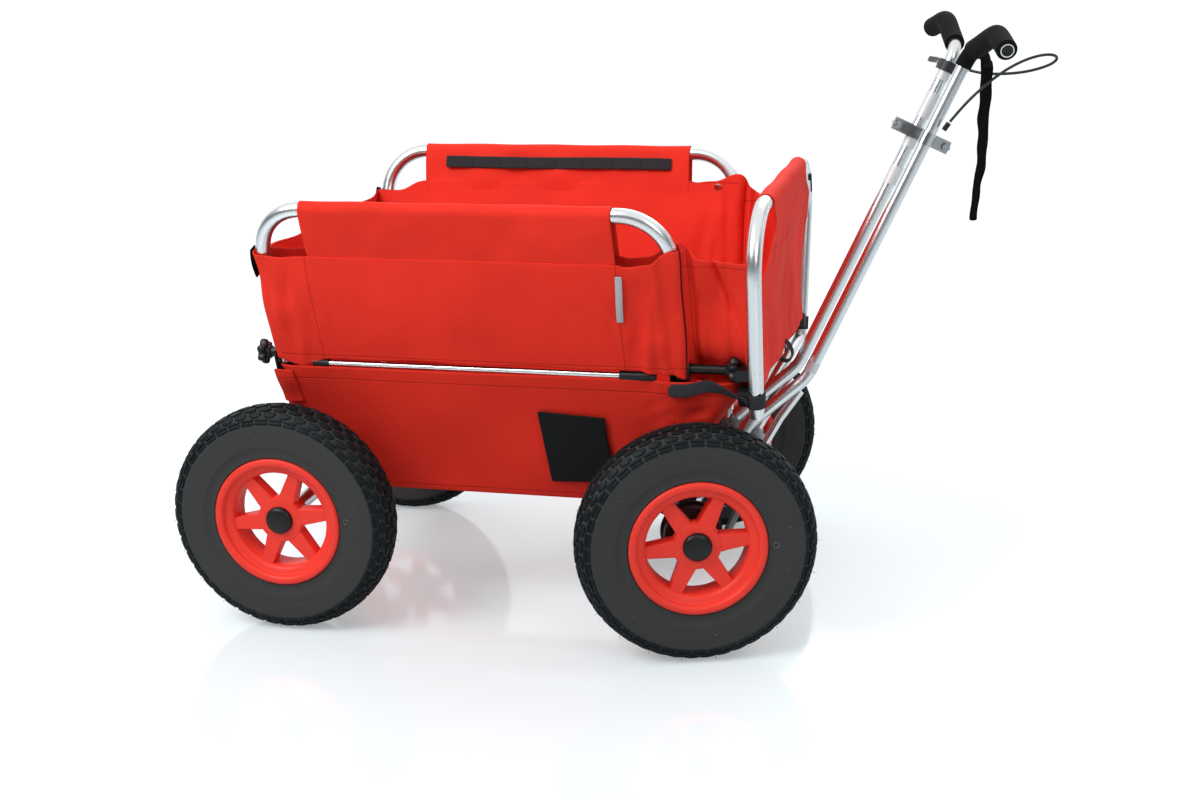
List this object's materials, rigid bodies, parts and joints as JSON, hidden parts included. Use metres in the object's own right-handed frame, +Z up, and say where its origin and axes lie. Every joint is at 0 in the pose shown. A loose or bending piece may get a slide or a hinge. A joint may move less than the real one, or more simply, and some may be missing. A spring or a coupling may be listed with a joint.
{
  "type": "beach cart",
  "caption": "Four-wheeled beach cart: leaning fold-down side frames, fabric tub, pneumatic tyres, knuckle steering and a tilting twin-tube pull handle with brake lever.",
  "frame": {"origin": "middle of the cart's footprint, on the ground under the tyres", "axes": "+X forward towards the handle, +Y to the cart's left, +Z up"},
  "size_m": [1.4618, 0.7992, 0.9976],
  "materials": {
    "tyre_rubber": "matte moulded rubber",
    "red_plastic": "moulded polypropylene",
    "black_plastic": "satin moulded nylon",
    "foam": "closed-cell foam",
    "red_fabric": "coated polyester weave",
    "black_webbing": "ribbed webbing",
    "cable": "smooth cable sheath",
    "board": "film-faced board",
    "zinc_steel": "zinc plated",
    "aluminium_tube": "anodised"
  },
  "bodies": {
    "root": {"bottom_rails": "aluminium_tube", "corner_straps": "black_webbing", "floor_board": "board", "front_axle_beam": "aluminium_tube", "front_castings": "zinc_steel", "front_cross_tube": "aluminium_tube", "front_hoop": "aluminium_tube", "front_hoop_links": "black_plastic", "front_hoop_stays": "aluminium_tube", "hinge_bolts": "zinc_steel", "hinge_brackets": "black_plastic", "hinge_spacers": "black_plastic", "lower_legs": "aluminium_tube", "nose_flap": "red_fabric", "rear_axle_beam": "aluminium_tube", "rear_stub_axles": "zinc_steel", "tub": "red_fabric", "upper_end_panels": "red_fabric"},
    "side_frame_near": {"side_hoop_near": "aluminium_tube", "side_panel_near": "red_fabric", "side_rod_near": "aluminium_tube", "rod_sleeves_near": "black_plastic"},
    "side_frame_far": {"side_hoop_far": "aluminium_tube", "side_panel_far": "red_fabric", "side_rod_far": "aluminium_tube", "rod_sleeves_far": "black_plastic"},
    "knob_rear_near": {"star_knob_rear_near": "black_plastic"},
    "knob_front_near": {"star_knob_front_near": "black_plastic"},
    "knob_rear_far": {"star_knob_rear_far": "black_plastic"},
    "knob_front_far": {"star_knob_front_far": "black_plastic"},
    "steering": {"steering_head": "zinc_steel"},
    "tie_rod": {"tie_rod": "zinc_steel"},
    "knuckle_near": {"knuckle_near": "zinc_steel"},
    "knuckle_far": {"knuckle_far": "zinc_steel"},
    "handle": {"handle_tubes": "aluminium_tube", "handle_yoke": "zinc_steel", "handle_braces": "aluminium_tube", "handle_bolts": "zinc_steel", "grip_near": "foam", "grip_far": "foam", "tube_clamp": "zinc_steel", "brake_lever_bracket": "zinc_steel", "cable_stops": "black_plastic", "brake_cable": "cable", "wrist_strap": "black_webbing"},
    "brake_lever": {"brake_lever": "zinc_steel"},
    "wheel_rear_near": {"tyre_rear_near": "tyre_rubber", "rim_rear_near": "red_plastic", "hub_cap_rear_near": "black_plastic"},
    "wheel_front_near": {"tyre_front_near": "tyre_rubber", "rim_front_near": "red_plastic", "hub_cap_front_near": "black_plastic", "brake_drum_near": "zinc_steel"},
    "wheel_rear_far": {"tyre_rear_far": "tyre_rubber", "rim_rear_far": "red_plastic", "hub_cap_rear_far": "black_plastic"},
    "wheel_front_far": {"tyre_front_far": "tyre_rubber", "rim_front_far": "red_plastic", "hub_cap_front_far": "black_plastic", "brake_drum_far": "zinc_steel"}
  },
  "joints": [
    {"name": "side_fold_near", "type": "hinge", "parent": "root", "child": "side_frame_near", "pos_m": [-0.50587, -0.23686, 0.474], "axis": [-1, 0, 0], "range_deg": [0, 106], "deforming": ["upper_end_panels"]},
    {"name": "side_fold_far", "type": "hinge", "parent": "root", "child": "side_frame_far", "pos_m": [-0.50587, 0.23686, 0.474], "axis": [1, 0, 0], "range_deg": [0, 92]},
    {"name": "knob_turn_rear_near", "type": "hinge", "parent": "root", "child": "knob_rear_near", "pos_m": [-0.54087, -0.23686, 0.474], "axis": [-1, 0, 0], "range_deg": [0, 360]},
    {"name": "knob_turn_front_near", "type": "hinge", "parent": "root", "child": "knob_front_near", "pos_m": [0.27313, -0.23686, 0.474], "axis": [1, 0, 0], "range_deg": [0, 360]},
    {"name": "knob_turn_rear_far", "type": "hinge", "parent": "root", "child": "knob_rear_far", "pos_m": [-0.54087, 0.23686, 0.474], "axis": [-1, 0, 0], "range_deg": [0, 360]},
    {"name": "knob_turn_front_far", "type": "hinge", "parent": "root", "child": "knob_front_far", "pos_m": [0.27313, 0.23686, 0.474], "axis": [1, 0, 0], "range_deg": [0, 360]},
    {"name": "steer", "type": "hinge", "parent": "root", "child": "steering", "pos_m": [0.18013, 0, 0.2], "axis": [0, 0, 1], "range_deg": [-39, 1]},
    {"name": "steer_tie_rod", "type": "hinge", "parent": "steering", "child": "tie_rod", "pos_m": [0.23686, 0.01953, 0.14], "axis": [0, 0, 1], "range_deg": [-1, 39]},
    {"name": "steer_knuckle_near", "type": "hinge", "parent": "root", "child": "knuckle_near", "pos_m": [0.18013, -0.18, 0.2], "axis": [0, 0, 1], "range_deg": [-39, 1]},
    {"name": "steer_knuckle_far", "type": "hinge", "parent": "root", "child": "knuckle_far", "pos_m": [0.18013, 0.18, 0.2], "axis": [0, 0, 1], "range_deg": [-39, 1]},
    {"name": "handle_tilt", "type": "hinge", "parent": "steering", "child": "handle", "pos_m": [0.24254, 0.02149, 0.262], "axis": [-0.3256, 0.9455, 0], "range_deg": [0, 62]},
    {"name": "brake_squeeze", "type": "hinge", "parent": "handle", "child": "brake_lever", "pos_m": [0.5685, 0.20511, 0.91464], "axis": [0.8475, 0.2918, -0.4433], "range_deg": [0, 20], "stiffness_Nm_per_rad": 0.6, "springref_deg": -5.73},
    {"name": "wheel_spin_rear_near", "type": "hinge", "parent": "root", "child": "wheel_rear_near", "pos_m": [-0.49987, -0.306, 0.2], "axis": [0, 1, 0], "continuous": true},
    {"name": "wheel_spin_front_near", "type": "hinge", "parent": "knuckle_near", "child": "wheel_front_near", "pos_m": [0.22246, -0.30292, 0.2], "axis": [-0.3256, 0.9455, 0], "continuous": true},
    {"name": "wheel_spin_rear_far", "type": "hinge", "parent": "root", "child": "wheel_rear_far", "pos_m": [-0.49987, 0.306, 0.2], "axis": [0, 1, 0], "continuous": true},
    {"name": "wheel_spin_front_far", "type": "hinge", "parent": "knuckle_far", "child": "wheel_front_far", "pos_m": [0.13781, 0.30292, 0.2], "axis": [-0.3256, 0.9455, 0], "continuous": true}
  ],
  "couplings": [
    {"joint": "steer_knuckle_near", "follows": "steer", "ratio": 1},
    {"joint": "steer_knuckle_far", "follows": "steer", "ratio": 1},
    {"joint": "steer_tie_rod", "follows": "steer", "ratio": -1}
  ]
}
